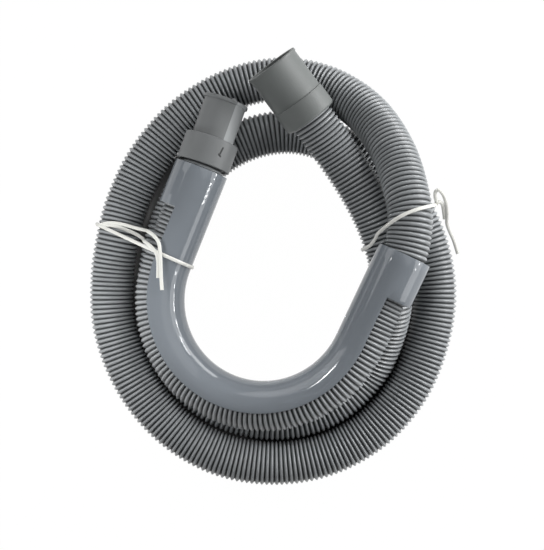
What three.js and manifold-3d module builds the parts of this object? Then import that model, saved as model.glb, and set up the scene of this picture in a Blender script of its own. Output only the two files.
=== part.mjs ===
// Drain hose of a washing machine, coiled up as it is stored: a corrugated plastic hose with a
// rubber cuff on each end, a U-shaped guide that hooks it over a sink, and two ties round the coil.
// Millimetres, +Z up. The coil lies on the plane Z = 0 and the origin is under its middle.
import * as THREE from 'three';
import { mergeVertices } from 'three/addons/utils/BufferGeometryUtils.js';
import Module from 'manifold-3d';

const wasm = await Module();
wasm.setup();

// Gap between pieces that touch, and round the hose in the cuffs
const SEAT_GAP = 0.35;
const SOCKET_CLEARANCE = 0.6;

// Hose, measured over its ridges, and its wall from ridge to bore
const HOSE_DIAMETER = 29.4;
const HOSE_WALL = 2.8;
const HOSE_SIDES = 12;
const HOSE_STEPS = 80;

// Wide cuff: a band grips the hose and a thinner sleeve pushes over the pump's outlet
const WIDE_BORE = 31;
const WIDE_WALL = 2;
const WIDE_SLEEVE_LENGTH = 28.4;
const WIDE_BAND_LENGTH = 15;
const WIDE_BAND_WALL = 2.75;
const WIDE_BAND_ROUNDING = 2.2;
const WIDE_STOP_BORE = 25;
const WIDE_STOP_THICKNESS = 2.4;
const WIDE_LIP_FLARE = 0.55;
const WIDE_LIP_LENGTH = 2.5;
const WIDE_LIP_CHAMFER = 0.5;

// Stepped cuff: a collar grips the hose and a narrower spout ends in a thin flange
const COLLAR_LENGTH = 18.2;
const COLLAR_WALL = 2.45;
const COLLAR_ROUNDING = 0.8;
const COLLAR_SHOULDER_THICKNESS = 2.8;
const SPOUT_BORE = 22;
const SPOUT_WALL = 2.85;
const SPOUT_LENGTH = 24.8;
const FLANGE_THICKNESS = 2.2;
const FLANGE_STANDOUT = 1.1;

// Guide: a bent tube with a closed sleeve on each end, open along the outside of the bend between
const GUIDE_CLEARANCE = 1.4;
const GUIDE_WALL = 1.65;
const GUIDE_BEND_RADIUS = 69.8;
const GUIDE_ARM_LENGTH = 63.9;
const GUIDE_ARM_SPLAY = 1.8;
const GUIDE_SLEEVE_LENGTH = 29.4;
const GUIDE_LIP_ANGLE = 79;
const GUIDE_SIDES = 24;
const GUIDE_STEPS = 32;

// Ties: flat plastic-coated wire pulled round the bundle, with the free ends left long
const TIE_WIDTH = 2.3;
const TIE_THICKNESS = 0.6;
const TIE_SLACK = 0.6;
const TIE_KNOT_RADIUS = 1.2;
const TIE_REACH = 34;
const TIE_LOOP_STEPS = 44;
const TIE_END_STEPS = 16;

// Where the guide lies: the centre of its bend, how far it rides above the turns on the floor, its
// turn on the surface, and its lean
const GUIDE_PLACE = new THREE.Vector2(-6.1, -19.3);
const GUIDE_RISE = 12.65;
const GUIDE_HEADING = -23.5;
const GUIDE_LEAN = 9.6;

// Where the wide cuff lies: the rim that the hose leaves, its turn on the surface, and its tilt
const WIDE_CUFF_RIM = new THREE.Vector3(24.6, 97.9, 50.4);
const WIDE_CUFF_HEADING = 37.3;
const WIDE_CUFF_TILT = 8.7;

// The stepped cuff follows the guide's left arm, a little turned and drooping
const STEPPED_CUFF_STANDOFF = 2;
const STEPPED_CUFF_TURN = 2.6;
const STEPPED_CUFF_DROOP = 3;

// Route of the hose from the wide cuff round the coil to the guide's right sleeve
const COIL_ROUTE = [
  [40.8, 76.3, 46.3],
  [56.8, 52.1, 43.8],
  [68.5, 29.2, 41.8],
  [76.4, 4.2, 39.2],
  [77.2, -18.1, 33.2],
  [73.5, -40.7, 23.4],
  [63.2, -65.6, 15.8],
  [42.6, -86.7, 14.9],
  [17.9, -97.3, 14.7],
  [-8.8, -98.6, 14.7],
  [-35.5, -90.3, 14.7],
  [-57.5, -72.3, 14.7],
  [-71.2, -48.3, 14.8],
  [-76.2, -20.3, 15.1],
  [-73.8, 8.4, 16.4],
  [-63.8, 40.4, 15.1],
  [-45.5, 69.1, 14.75],
  [-18.8, 86.1, 14.7],
  [11.2, 91.6, 14.7],
  [41.2, 83.8, 14.7],
  [67.2, 66.1, 14.7],
  [88.6, 44.8, 14.7],
  [101.9, 18.4, 14.7],
  [107.8, -13.6, 14.7],
  [103.9, -45.0, 14.7],
  [89.9, -79.6, 14.7],
  [65.9, -106.7, 14.7],
  [34.6, -123.7, 14.7],
  [-0.8, -129.1, 14.7],
  [-36.8, -122.7, 14.7],
  [-68.2, -103.7, 14.7],
  [-92.2, -74.3, 14.75],
  [-105.9, -38.3, 14.8],
  [-107.3, -5.0, 15.1],
  [-103.2, 22.4, 16.4],
  [-96.6, 46.5, 15.1],
  [-81.9, 75.4, 14.8],
  [-56.8, 103.1, 14.7],
  [-24.8, 121.1, 15.0],
  [6.5, 126.8, 17.0],
  [35.0, 120.8, 22.0],
  [60.6, 103.2, 34.2],
  [77.4, 76.3, 52.0],
  [84.7, 50.6, 65.0],
  [87.1, 33.9, 69.8],
];

// Left tie: the upright plane of its loop, and its two free ends, which lie over onto the guide
const LEFT_TIE_CENTRE = new THREE.Vector3(-83.6, 15.2, 35);
const LEFT_TIE_TURN = -24;
const LEFT_TIE_ENDS = [
  [
    [-116.0, 28.7, 25.7],
    [-112.1, 30.1, 28.3],
    [-107.6, 30.7, 30.8],
    [-102.1, 30.3, 32.0],
    [-96.1, 28.9, 33.4],
    [-89.8, 27.1, 38.5],
    [-83.9, 25.6, 47.0],
    [-80.9, 24.6, 55.9],
    [-76.2, 21.4, 63.0],
    [-73.0, 16.8, 67.0],
    [-72.2, 11.7, 68.3],
    [-71.7, 4.1, 68.5],
    [-71.4, -4.2, 68.5],
    [-70.9, -13.2, 68.3],
  ],
  [
    [-116.0, 28.7, 25.7],
    [-111.9, 28.9, 28.6],
    [-107.4, 29.0, 31.1],
    [-102.1, 28.0, 32.0],
    [-96.0, 25.9, 33.8],
    [-89.9, 23.2, 40.0],
    [-84.8, 20.1, 48.0],
    [-82.5, 17.9, 57.7],
    [-77.6, 14.0, 64.1],
    [-74.5, 9.8, 67.0],
    [-73.5, 5.3, 67.5],
    [-73.4, 0.2, 67.5],
    [-73.5, -5.5, 67.4],
  ],
];

// Right tie: the upright plane of its loop, then a bow with a long end, and a short end
const RIGHT_TIE_CENTRE = new THREE.Vector3(81.4, 27.2, 55);
const RIGHT_TIE_TURN = 31.9;
const RIGHT_TIE_ENDS = [
  [
    [102.9, 38.5, 64.4],
    [104.1, 42.4, 67.0],
    [103.0, 46.9, 69.0],
    [103.3, 49.5, 70.0],
    [105.1, 50.4, 70.5],
    [107.7, 48.3, 69.0],
    [109.9, 43.6, 66.0],
    [111.5, 36.8, 60.0],
    [112.0, 29.9, 54.0],
    [114.4, 25.0, 47.0],
    [117.6, 19.2, 41.0],
    [121.0, 10.5, 35.0],
  ],
  [
    [102.9, 38.5, 64.4],
    [103.8, 41.5, 66.4],
    [105.4, 43.2, 67.0],
    [107.8, 41.8, 65.0],
    [109.3, 37.4, 60.5],
    [110.3, 32.5, 56.0],
  ],
];

const UP = new THREE.Vector3(0, 0, 1);
const radians = THREE.MathUtils.degToRad;
const hoseRadius = HOSE_DIAMETER / 2;

const plastic = (color, roughness) => new THREE.MeshStandardMaterial({ color, roughness, metalness: 0 });
const hoseGrey = plastic(0x85898b, 0.42);
const cuffGrey = plastic(0x64686a, 0.62);
const guideGrey = plastic(0x777d86, 0.24);
const tieWhite = plastic(0xe9e9e4, 0.38);

// A frame turned by a heading about Z, then tipped about its own X or leaned about its own Y
const frameAt = (position, heading, tip, lean) => {
  const frame = new THREE.Group();
  frame.position.copy(position);
  frame.rotation.set(radians(tip), radians(-lean), radians(heading), 'ZYX');
  return frame;
};

const circlePoints = (radius, sides) => {
  const points = [];
  for (let i = 0; i < sides; i += 1) {
    const angle = (2 * Math.PI * i) / sides;
    points.push(new THREE.Vector2(radius * Math.cos(angle), radius * Math.sin(angle)));
  }
  return points;
};

const ringSection = (outerRadius, innerRadius, sides) => {
  const section = new THREE.Shape(circlePoints(outerRadius, sides));
  section.holes.push(new THREE.Path(circlePoints(innerRadius, sides)));
  return section;
};

const sweep = (section, path, steps) =>
  new THREE.ExtrudeGeometry(section, { steps, extrudePath: path, bevelEnabled: false });

// Section frames along a path, with the section's first axis kept square to a fixed direction
const framesSquareTo = (path, direction, steps) => {
  const frames = { tangents: [], normals: [], binormals: [] };
  for (let i = 0; i <= steps; i += 1) {
    const tangent = path.getTangentAt(i / steps);
    const normal = new THREE.Vector3().crossVectors(direction, tangent).normalize();
    frames.tangents.push(tangent);
    frames.normals.push(normal);
    frames.binormals.push(new THREE.Vector3().crossVectors(tangent, normal));
  }
  return frames;
};

class SteadyRoute extends THREE.CatmullRomCurve3 {
  constructor(points, direction) {
    super(points);
    this.direction = direction;
    this.arcLengthDivisions = 20 * points.length;
  }

  computeFrenetFrames(steps) {
    return framesSquareTo(this, this.direction, steps);
  }
}

const toSolid = (geometry) => {
  const bare = new THREE.BufferGeometry();
  bare.setAttribute('position', geometry.getAttribute('position'));
  bare.setIndex(geometry.getIndex());
  const welded = mergeVertices(bare, 1e-4);
  const mesh = new wasm.Mesh({
    numProp: 3,
    vertProperties: Float32Array.from(welded.getAttribute('position').array),
    triVerts: Uint32Array.from(welded.getIndex().array),
  });
  return new wasm.Manifold(mesh);
};

const toGeometry = (solid) => {
  const mesh = solid.getMesh();
  const geometry = new THREE.BufferGeometry();
  geometry.setAttribute('position', new THREE.BufferAttribute(mesh.vertProperties, mesh.numProp));
  geometry.setIndex(new THREE.BufferAttribute(mesh.triVerts, 1));
  geometry.computeVertexNormals();
  return geometry;
};

// Points of a quarter-round corner between two angles, for a turned profile
const corner = (x, y, radius, from, to) => {
  const points = [];
  for (let i = 0; i <= 3; i += 1) {
    const angle = radians(from + ((to - from) * i) / 3);
    points.push(new THREE.Vector2(x + radius * Math.cos(angle), y + radius * Math.sin(angle)));
  }
  return points;
};

const turned = (profile) => new THREE.LatheGeometry([...profile, profile[0]], 32);

// Wide cuff, turned about Y from the rim that the hose leaves to its open mouth
const wideSocketRadius = hoseRadius + SOCKET_CLEARANCE;
const wideBandRadius = wideSocketRadius + WIDE_BAND_WALL;
const wideSleeveRadius = WIDE_BORE / 2 + WIDE_WALL;
const wideLength = WIDE_BAND_LENGTH + WIDE_SLEEVE_LENGTH;
const wideSocketDepth = WIDE_BAND_LENGTH - WIDE_STOP_THICKNESS / 2;

const makeWideCuff = () => {
  const lipRadius = wideSleeveRadius + WIDE_LIP_FLARE;
  const point = (x, y) => new THREE.Vector2(x, y);
  const profile = [
    ...corner(wideBandRadius - WIDE_BAND_ROUNDING, WIDE_BAND_ROUNDING, WIDE_BAND_ROUNDING, -90, 0),
    point(wideBandRadius, WIDE_BAND_LENGTH),
    point(wideSleeveRadius, WIDE_BAND_LENGTH + (wideBandRadius - wideSleeveRadius) / 2),
    point(wideSleeveRadius, wideLength - WIDE_LIP_LENGTH),
    point(lipRadius, wideLength - WIDE_LIP_LENGTH + WIDE_LIP_FLARE),
    point(lipRadius, wideLength),
    point(WIDE_BORE / 2 + WIDE_LIP_CHAMFER, wideLength),
    point(WIDE_BORE / 2, wideLength - WIDE_LIP_CHAMFER),
    point(WIDE_BORE / 2, wideSocketDepth + WIDE_STOP_THICKNESS),
    point(WIDE_STOP_BORE / 2, wideSocketDepth + WIDE_STOP_THICKNESS),
    point(WIDE_STOP_BORE / 2, wideSocketDepth),
    point(wideSocketRadius, wideSocketDepth),
    point(wideSocketRadius, 0),
  ];
  return turned(profile);
};

// Stepped cuff, turned about Y from the rim that the hose enters to its end flange
const collarSocketRadius = hoseRadius + SOCKET_CLEARANCE;
const collarRadius = collarSocketRadius + COLLAR_WALL;
const collarSocketDepth = COLLAR_LENGTH - COLLAR_SHOULDER_THICKNESS;
const spoutRadius = SPOUT_BORE / 2 + SPOUT_WALL;
const steppedLength = COLLAR_LENGTH + SPOUT_LENGTH + FLANGE_THICKNESS;

const makeSteppedCuff = () => {
  const flangeRadius = spoutRadius + FLANGE_STANDOUT;
  const point = (x, y) => new THREE.Vector2(x, y);
  const rounding = COLLAR_ROUNDING;
  const profile = [
    ...corner(collarRadius - rounding, rounding, rounding, -90, 0),
    ...corner(collarRadius - rounding, COLLAR_LENGTH - rounding, rounding, 0, 90),
    point(spoutRadius, COLLAR_LENGTH),
    point(spoutRadius, COLLAR_LENGTH + SPOUT_LENGTH),
    point(flangeRadius, COLLAR_LENGTH + SPOUT_LENGTH),
    point(flangeRadius, steppedLength),
    point(SPOUT_BORE / 2, steppedLength),
    point(SPOUT_BORE / 2, collarSocketDepth),
    point(collarSocketRadius, collarSocketDepth),
    point(collarSocketRadius, 0),
  ];
  return turned(profile);
};

// Centreline of the guide in its own plane, from the end of its right arm round to the left one
const guideBore = hoseRadius + GUIDE_CLEARANCE;
const guideRadius = guideBore + GUIDE_WALL;
const splay = radians(GUIDE_ARM_SPLAY);

const armPoint = (side, distanceUp) => {
  const x = side * (GUIDE_BEND_RADIUS * Math.cos(splay) + distanceUp * Math.sin(splay));
  const y = -GUIDE_BEND_RADIUS * Math.sin(splay) + distanceUp * Math.cos(splay);
  return new THREE.Vector2(x, y);
};

const guideLine = new THREE.Path();
guideLine.moveTo(armPoint(1, GUIDE_ARM_LENGTH).x, armPoint(1, GUIDE_ARM_LENGTH).y);
guideLine.lineTo(armPoint(1, 0).x, armPoint(1, 0).y);
guideLine.absarc(0, 0, GUIDE_BEND_RADIUS, -splay, Math.PI + splay, true);
guideLine.lineTo(armPoint(-1, GUIDE_ARM_LENGTH).x, armPoint(-1, GUIDE_ARM_LENGTH).y);
const guideLength = guideLine.getLength();

const guidePoint = (distance) => {
  const point = guideLine.getPoint(distance / guideLength);
  return new THREE.Vector3(point.x, point.y, 0);
};

class GuideStretch extends THREE.Curve {
  constructor(from, to) {
    super();
    this.from = from;
    this.to = to;
  }

  getPoint(t) {
    return guidePoint(this.from + t * (this.to - this.from));
  }

  computeFrenetFrames(steps) {
    return framesSquareTo(this, UP, steps);
  }
}

const makeGuide = () => {
  const tube = sweep(
    ringSection(guideRadius, guideBore, GUIDE_SIDES),
    new GuideStretch(0, guideLength),
    GUIDE_STEPS,
  );
  const reach = guideRadius * 1.3;
  const lip = radians(GUIDE_LIP_ANGLE);
  const slotSection = new THREE.Shape([
    new THREE.Vector2(0, 0),
    new THREE.Vector2(reach * Math.cos(lip), -reach * Math.sin(lip)),
    new THREE.Vector2(reach, -reach * Math.sin(lip)),
    new THREE.Vector2(reach, reach * Math.sin(lip)),
    new THREE.Vector2(reach * Math.cos(lip), reach * Math.sin(lip)),
  ]);
  const slotStretch = new GuideStretch(GUIDE_SLEEVE_LENGTH, guideLength - GUIDE_SLEEVE_LENGTH);
  const slot = sweep(slotSection, slotStretch, GUIDE_STEPS);
  return toGeometry(toSolid(tube).subtract(toSolid(slot)));
};

// Frames of the guide and the cuffs
const guideHeight = HOSE_DIAMETER + guideRadius + GUIDE_RISE;
const guideCentre = new THREE.Vector3(GUIDE_PLACE.x, GUIDE_PLACE.y, guideHeight);
const guideFrame = frameAt(guideCentre, GUIDE_HEADING, 0, GUIDE_LEAN);
const wideCuffFrame = frameAt(WIDE_CUFF_RIM, WIDE_CUFF_HEADING, WIDE_CUFF_TILT, 0);
const leftArmEnd = armPoint(-1, GUIDE_ARM_LENGTH + STEPPED_CUFF_STANDOFF);
const steppedCuffFrame = frameAt(
  new THREE.Vector3(leftArmEnd.x, leftArmEnd.y, 0),
  GUIDE_ARM_SPLAY + STEPPED_CUFF_TURN,
  -STEPPED_CUFF_DROOP,
  0,
);
guideFrame.add(steppedCuffFrame);
guideFrame.updateMatrixWorld(true);
wideCuffFrame.updateMatrixWorld(true);

// Centreline of the hose, from its seat in the wide cuff to its seat in the stepped cuff
const makeHoseRoute = () => {
  const points = [
    wideCuffFrame.localToWorld(new THREE.Vector3(0, wideSocketDepth - SEAT_GAP, 0)),
    wideCuffFrame.localToWorld(new THREE.Vector3(0, 0, 0)),
    ...COIL_ROUTE.map((place) => new THREE.Vector3(...place)),
  ];
  const stations = 16;
  for (let i = 0; i <= stations; i += 1) {
    points.push(guideFrame.localToWorld(guidePoint((guideLength * i) / stations)));
  }
  points.push(steppedCuffFrame.localToWorld(new THREE.Vector3(0, collarSocketDepth / 3, 0)));
  points.push(steppedCuffFrame.localToWorld(new THREE.Vector3(0, collarSocketDepth - SEAT_GAP, 0)));
  return new SteadyRoute(points, UP);
};
const hoseRoute = makeHoseRoute();

const makeHose = () => sweep(ringSection(hoseRadius, hoseRadius - HOSE_WALL, HOSE_SIDES), hoseRoute, HOSE_STEPS);

// Outline that clears a slanting tube over the full width of a tie, in the tie's upright plane
const clearOutline = (frame, centre, tangent, radius) => {
  const across = new THREE.Vector3(1, 0, 0).transformDirection(frame.matrixWorld);
  const along = new THREE.Vector3(0, 1, 0).transformDirection(frame.matrixWorld);
  const halfWidthOnTube = TIE_WIDTH / 2 / tangent.dot(along);
  const outline = [];
  for (const edge of [-halfWidthOnTube, halfWidthOnTube]) {
    const local = frame.worldToLocal(centre.clone().addScaledVector(tangent, edge));
    for (const unit of circlePoints(1, 48)) {
      const direction = across.clone().multiplyScalar(unit.x).addScaledVector(UP, unit.y);
      const slant = direction.dot(tangent);
      const reach = radius / Math.sqrt(1 - slant * slant);
      outline.push(new THREE.Vector2(local.x + reach * unit.x, local.z + reach * unit.y));
    }
  }
  return outline;
};

// Outlines of a tube wherever it passes through the plane of a tie near the middle of its loop
const crossingOutlines = (frame, centreline, radius) => {
  const clearRadius = radius + SEAT_GAP + TIE_SLACK + TIE_THICKNESS / 2;
  const outlines = [];
  const samples = 2000;
  let last = centreline(0);
  for (let i = 1; i <= samples; i += 1) {
    const here = centreline(i / samples);
    const before = frame.worldToLocal(last.clone());
    const after = frame.worldToLocal(here.clone());
    if (before.y * after.y <= 0 && after.length() < TIE_REACH) {
      const tangent = here.clone().sub(last).normalize();
      outlines.push(...clearOutline(frame, here, tangent, clearRadius));
    }
    last = here;
  }
  return outlines;
};

// The tight outline round a set of points, as a band pulled round them lies
const pulledRound = (points) => {
  const chainOf = (ordered) => {
    const chain = [];
    for (const point of ordered) {
      let turns = true;
      while (turns && chain.length > 1) {
        const last = chain[chain.length - 1];
        const edge = last.clone().sub(chain[chain.length - 2]);
        turns = edge.cross(point.clone().sub(last)) <= 0;
        if (turns) chain.pop();
      }
      chain.push(point);
    }
    return chain.slice(0, -1);
  };
  const sorted = [...points].sort((a, b) => a.x - b.x || a.y - b.y);
  return [...chainOf(sorted), ...chainOf([...sorted].reverse())];
};

// Loop of a tie, from the outline's corner nearest its knot round to just short of the knot
class TieLoop extends THREE.Curve {
  constructor(frame, outline, knot) {
    super();
    this.across = new THREE.Vector3(0, 1, 0).transformDirection(frame.matrixWorld);
    const corners = outline.map((place) => frame.localToWorld(new THREE.Vector3(place.x, 0, place.y)));
    const distances = corners.map((place) => place.distanceTo(knot));
    const first = distances.indexOf(Math.min(...distances));
    const ordered = [...corners.slice(first), ...corners.slice(0, first + 1)];
    this.line = new THREE.CurvePath();
    for (let i = 1; i < ordered.length; i += 1) {
      this.line.add(new THREE.LineCurve3(ordered[i - 1], ordered[i]));
    }
    this.share = 1 - TIE_KNOT_RADIUS / 2 / this.line.getLength();
  }

  getPoint(t) {
    return this.line.getPoint(t * this.share);
  }

  computeFrenetFrames(steps) {
    return framesSquareTo(this, this.across, steps);
  }
}

const rectangle = (width, height) =>
  new THREE.Shape([
    new THREE.Vector2(-width / 2, -height / 2),
    new THREE.Vector2(width / 2, -height / 2),
    new THREE.Vector2(width / 2, height / 2),
    new THREE.Vector2(-width / 2, height / 2),
  ]);

// Centrelines that the free ends of a tie lie on, each with the distance that keeps them clear
const restingLine = (centreline, radius, samples) => {
  const places = [];
  for (let i = 0; i <= samples; i += 1) {
    places.push(centreline(i / samples));
  }
  return { places, reach: radius + SEAT_GAP + TIE_SLACK + TIE_THICKNESS / 2 };
};

const guideCentreline = (t) => guideFrame.localToWorld(guidePoint(t * guideLength));
const restingLines = [
  restingLine((t) => hoseRoute.getPointAt(t), hoseRadius, 900),
  restingLine(guideCentreline, guideRadius, 200),
];

// A point of a free end, moved out to lie on the hose or the guide where it would be inside them
const laidOn = (point) => {
  for (const { places, reach } of restingLines) {
    const distances = places.map((place) => place.distanceTo(point));
    const nearest = places[distances.indexOf(Math.min(...distances))];
    const outward = point.clone().sub(nearest);
    if (outward.length() < reach) point.copy(nearest).add(outward.setLength(reach));
  }
  return point;
};

const makeTie = (centre, turn, ends, guided) => {
  const frame = frameAt(centre, turn, 0, 0);
  frame.updateMatrixWorld(true);
  const outlines = crossingOutlines(frame, (t) => hoseRoute.getPointAt(t), hoseRadius);
  if (guided) outlines.push(...crossingOutlines(frame, guideCentreline, guideRadius));
  const loop = new TieLoop(frame, pulledRound(outlines), new THREE.Vector3(...ends[0][0]));
  const knot = loop.getPoint(0);
  let tie = toSolid(sweep(rectangle(TIE_THICKNESS, TIE_WIDTH), loop, TIE_LOOP_STEPS));
  const twist = new THREE.SphereGeometry(TIE_KNOT_RADIUS, 12, 8);
  tie = tie.add(toSolid(twist.translate(knot.x, knot.y, knot.z)));
  for (const end of ends) {
    const laid = end.slice(1).map((place) => laidOn(new THREE.Vector3(...place)));
    const route = new SteadyRoute([knot, ...laid], UP);
    tie = tie.add(toSolid(sweep(rectangle(TIE_WIDTH, TIE_THICKNESS), route, TIE_END_STEPS)));
  }
  return toGeometry(tie);
};

const piece = (name, geometry, material) => {
  const mesh = new THREE.Mesh(geometry, material);
  mesh.name = name;
  return mesh;
};

const drainHose = new THREE.Group();
drainHose.name = 'drain_hose';
drainHose.add(piece('corrugated_hose', makeHose(), hoseGrey));
guideFrame.add(piece('hose_guide', makeGuide(), guideGrey));
steppedCuffFrame.add(piece('stepped_cuff', makeSteppedCuff(), cuffGrey));
wideCuffFrame.add(piece('wide_cuff', makeWideCuff(), cuffGrey));
drainHose.add(guideFrame);
drainHose.add(wideCuffFrame);
drainHose.add(piece('left_tie', makeTie(LEFT_TIE_CENTRE, LEFT_TIE_TURN, LEFT_TIE_ENDS, true), tieWhite));
drainHose.add(piece('right_tie', makeTie(RIGHT_TIE_CENTRE, RIGHT_TIE_TURN, RIGHT_TIE_ENDS, false), tieWhite));

export default drainHose;
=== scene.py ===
# A washing machine's drain hose, coiled and tied as it is sold: metres, +Z up, coil on Z = 0.
import math

import bmesh
import bpy
from mathutils import Matrix, Vector
from mathutils.geometry import convex_hull_2d, interpolate_bezier


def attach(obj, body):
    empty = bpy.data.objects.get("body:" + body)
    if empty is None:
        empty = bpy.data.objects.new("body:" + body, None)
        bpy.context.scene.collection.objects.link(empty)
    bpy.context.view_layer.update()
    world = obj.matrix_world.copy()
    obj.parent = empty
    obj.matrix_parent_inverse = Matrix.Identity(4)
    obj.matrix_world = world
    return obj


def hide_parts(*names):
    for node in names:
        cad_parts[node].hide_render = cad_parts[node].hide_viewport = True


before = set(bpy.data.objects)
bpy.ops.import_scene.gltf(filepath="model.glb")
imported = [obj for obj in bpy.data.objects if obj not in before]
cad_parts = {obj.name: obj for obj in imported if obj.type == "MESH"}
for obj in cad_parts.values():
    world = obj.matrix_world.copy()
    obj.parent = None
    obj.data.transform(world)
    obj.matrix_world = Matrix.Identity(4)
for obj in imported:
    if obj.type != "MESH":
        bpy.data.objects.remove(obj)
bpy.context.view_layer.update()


# Camera: straight above the coil, a little over a metre away, as the photograph was taken.
# The top of the picture is +Y.
CAMERA_HEIGHT = 1.2
CAMERA_X, CAMERA_Y = -0.0008, -0.0036
CAMERA_LENS = 116.3
CAMERA_SENSOR = 36

camera_data = bpy.data.cameras.new("camera")
camera_data.lens = CAMERA_LENS
camera_data.sensor_width = CAMERA_SENSOR
camera = bpy.data.objects.new("camera", camera_data)
camera.location = (CAMERA_X, CAMERA_Y, CAMERA_HEIGHT)
bpy.context.scene.collection.objects.link(camera)
bpy.context.scene.camera = camera


# Hose: one length of thin ridged polypropylene, blow-moulded in a moving mould, with round ridges
# all along. It winds down from the wide cuff, round the floor, over itself and through the guide.
HOSE_DIAMETER = 0.0294
HOSE_BORE = 0.0238
RIDGE_COUNT = 600
RIDGE_DEPTH = 0.0019
HOSE_SIDES = 28
# the hose's centreline from the wide cuff down and twice round the floor to the right sleeve
COIL_ROUTE = [
    (0.0408, 0.0763, 0.0463),
    (0.0568, 0.0521, 0.0438),
    (0.0685, 0.0292, 0.0418),
    (0.0764, 0.0042, 0.0392),
    (0.0772, -0.0181, 0.0332),
    (0.0735, -0.0407, 0.0234),
    (0.0632, -0.0656, 0.0158),
    (0.0426, -0.0867, 0.0149),
    (0.0179, -0.0973, 0.0147),
    (-0.0088, -0.0986, 0.0147),
    (-0.0355, -0.0903, 0.0147),
    (-0.0575, -0.0723, 0.0147),
    (-0.0712, -0.0483, 0.0148),
    (-0.0762, -0.0203, 0.0151),
    (-0.0738, 0.0084, 0.0164),
    (-0.0638, 0.0404, 0.0151),
    (-0.0455, 0.0691, 0.01475),
    (-0.0188, 0.0861, 0.0147),
    (0.0112, 0.0916, 0.0147),
    (0.0412, 0.0838, 0.0147),
    (0.0672, 0.0661, 0.0147),
    (0.0886, 0.0448, 0.0147),
    (0.1019, 0.0184, 0.0147),
    (0.1078, -0.0136, 0.0147),
    (0.1039, -0.045, 0.0147),
    (0.0899, -0.0796, 0.0147),
    (0.0659, -0.1067, 0.0147),
    (0.0346, -0.1237, 0.0147),
    (-0.0008, -0.1291, 0.0147),
    (-0.0368, -0.1227, 0.0147),
    (-0.0682, -0.1037, 0.0147),
    (-0.0922, -0.0743, 0.01475),
    (-0.1059, -0.0383, 0.0148),
    (-0.1073, -0.005, 0.0151),
    (-0.1032, 0.0224, 0.0164),
    (-0.0966, 0.0465, 0.0151),
    (-0.0819, 0.0754, 0.0148),
    (-0.0568, 0.1031, 0.0147),
    (-0.0248, 0.1211, 0.015),
    (0.0065, 0.1268, 0.017),
    (0.035, 0.1208, 0.022),
    (0.0606, 0.1032, 0.0342),
    (0.0774, 0.0763, 0.052),
    (0.0847, 0.0506, 0.065),
    (0.0871, 0.0339, 0.0698),
]


def frame_matrix(position, heading, tip=0, lean=0):
    """Where a piece lies: turned by a heading, and tipped or leaned out of the level."""
    turn = Matrix.Rotation(math.radians(heading), 4, "Z")
    turn @= Matrix.Rotation(math.radians(-lean), 4, "Y")
    turn @= Matrix.Rotation(math.radians(tip), 4, "X")
    return Matrix.Translation(position) @ turn


# the guide's own line, which the hose follows from the right sleeve round to the left one
GUIDE_CENTRE = (-0.0061, -0.0193, 0.0598)
GUIDE_HEADING, GUIDE_LEAN = -23.5, 9.6
GUIDE_BEND_RADIUS = 0.0698
GUIDE_ARM_LENGTH = 0.0639
GUIDE_ARM_SPLAY = 1.8
guide_frame = frame_matrix(GUIDE_CENTRE, GUIDE_HEADING, lean=GUIDE_LEAN)


def arm_point(side, distance):
    """A point on an arm's centreline, that far from the bend, in the guide's own plane."""
    splay = math.radians(GUIDE_ARM_SPLAY)
    x = side * (GUIDE_BEND_RADIUS * math.cos(splay) + distance * math.sin(splay))
    y = -GUIDE_BEND_RADIUS * math.sin(splay) + distance * math.cos(splay)
    return Vector((x, y, 0))


def guide_line(stations):
    """Points evenly spaced along the guide's centreline, from its right end to its left end."""
    bend_angle = math.pi - 2 * math.radians(GUIDE_ARM_SPLAY)
    bend_length = GUIDE_BEND_RADIUS * bend_angle
    length = bend_length + 2 * GUIDE_ARM_LENGTH
    points = []
    for i in range(stations + 1):
        distance = length * i / stations - GUIDE_ARM_LENGTH
        if distance < 0:
            points.append(arm_point(1, -distance))
        elif distance > bend_length:
            points.append(arm_point(-1, distance - bend_length))
        else:
            angle = math.radians(GUIDE_ARM_SPLAY) + distance / GUIDE_BEND_RADIUS
            points.append(GUIDE_BEND_RADIUS * Vector((math.cos(angle), -math.sin(angle), 0)))
    return points


# the two cuffs, each with the hose's end seated in it
WIDE_CUFF_RIM = (0.0246, 0.0979, 0.0504)
WIDE_CUFF_HEADING, WIDE_CUFF_TILT = 37.3, 8.7
WIDE_SEAT = 0.01345
STEPPED_CUFF_STANDOFF = 0.002
STEPPED_CUFF_TURN, STEPPED_CUFF_DROOP = 2.6, 3
STEPPED_SEAT = 0.01505
wide_cuff_frame = frame_matrix(WIDE_CUFF_RIM, WIDE_CUFF_HEADING, tip=WIDE_CUFF_TILT)
stepped_cuff_frame = guide_frame @ frame_matrix(
    arm_point(-1, GUIDE_ARM_LENGTH + STEPPED_CUFF_STANDOFF),
    GUIDE_ARM_SPLAY + STEPPED_CUFF_TURN,
    tip=-STEPPED_CUFF_DROOP,
)


def smooth_line(points, pieces):
    """A smooth line through the points, with each span cut into that many pieces."""
    first, last = 2 * points[0] - points[1], 2 * points[-1] - points[-2]
    row = [first, *points, last]
    line = []
    for a, b, c, d in zip(row, row[1:], row[2:], row[3:]):
        before, here, after = (b - a).length ** 0.5, (c - b).length ** 0.5, (d - c).length ** 0.5
        leave = ((b - a) / before - (c - a) / (before + here) + (c - b) / here) * here
        reach = ((c - b) / here - (d - b) / (here + after) + (d - c) / after) * here
        line += interpolate_bezier(b, b + leave / 3, c - reach / 3, c, pieces + 1)[:-1]
    return [*line, points[-1]]


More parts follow.
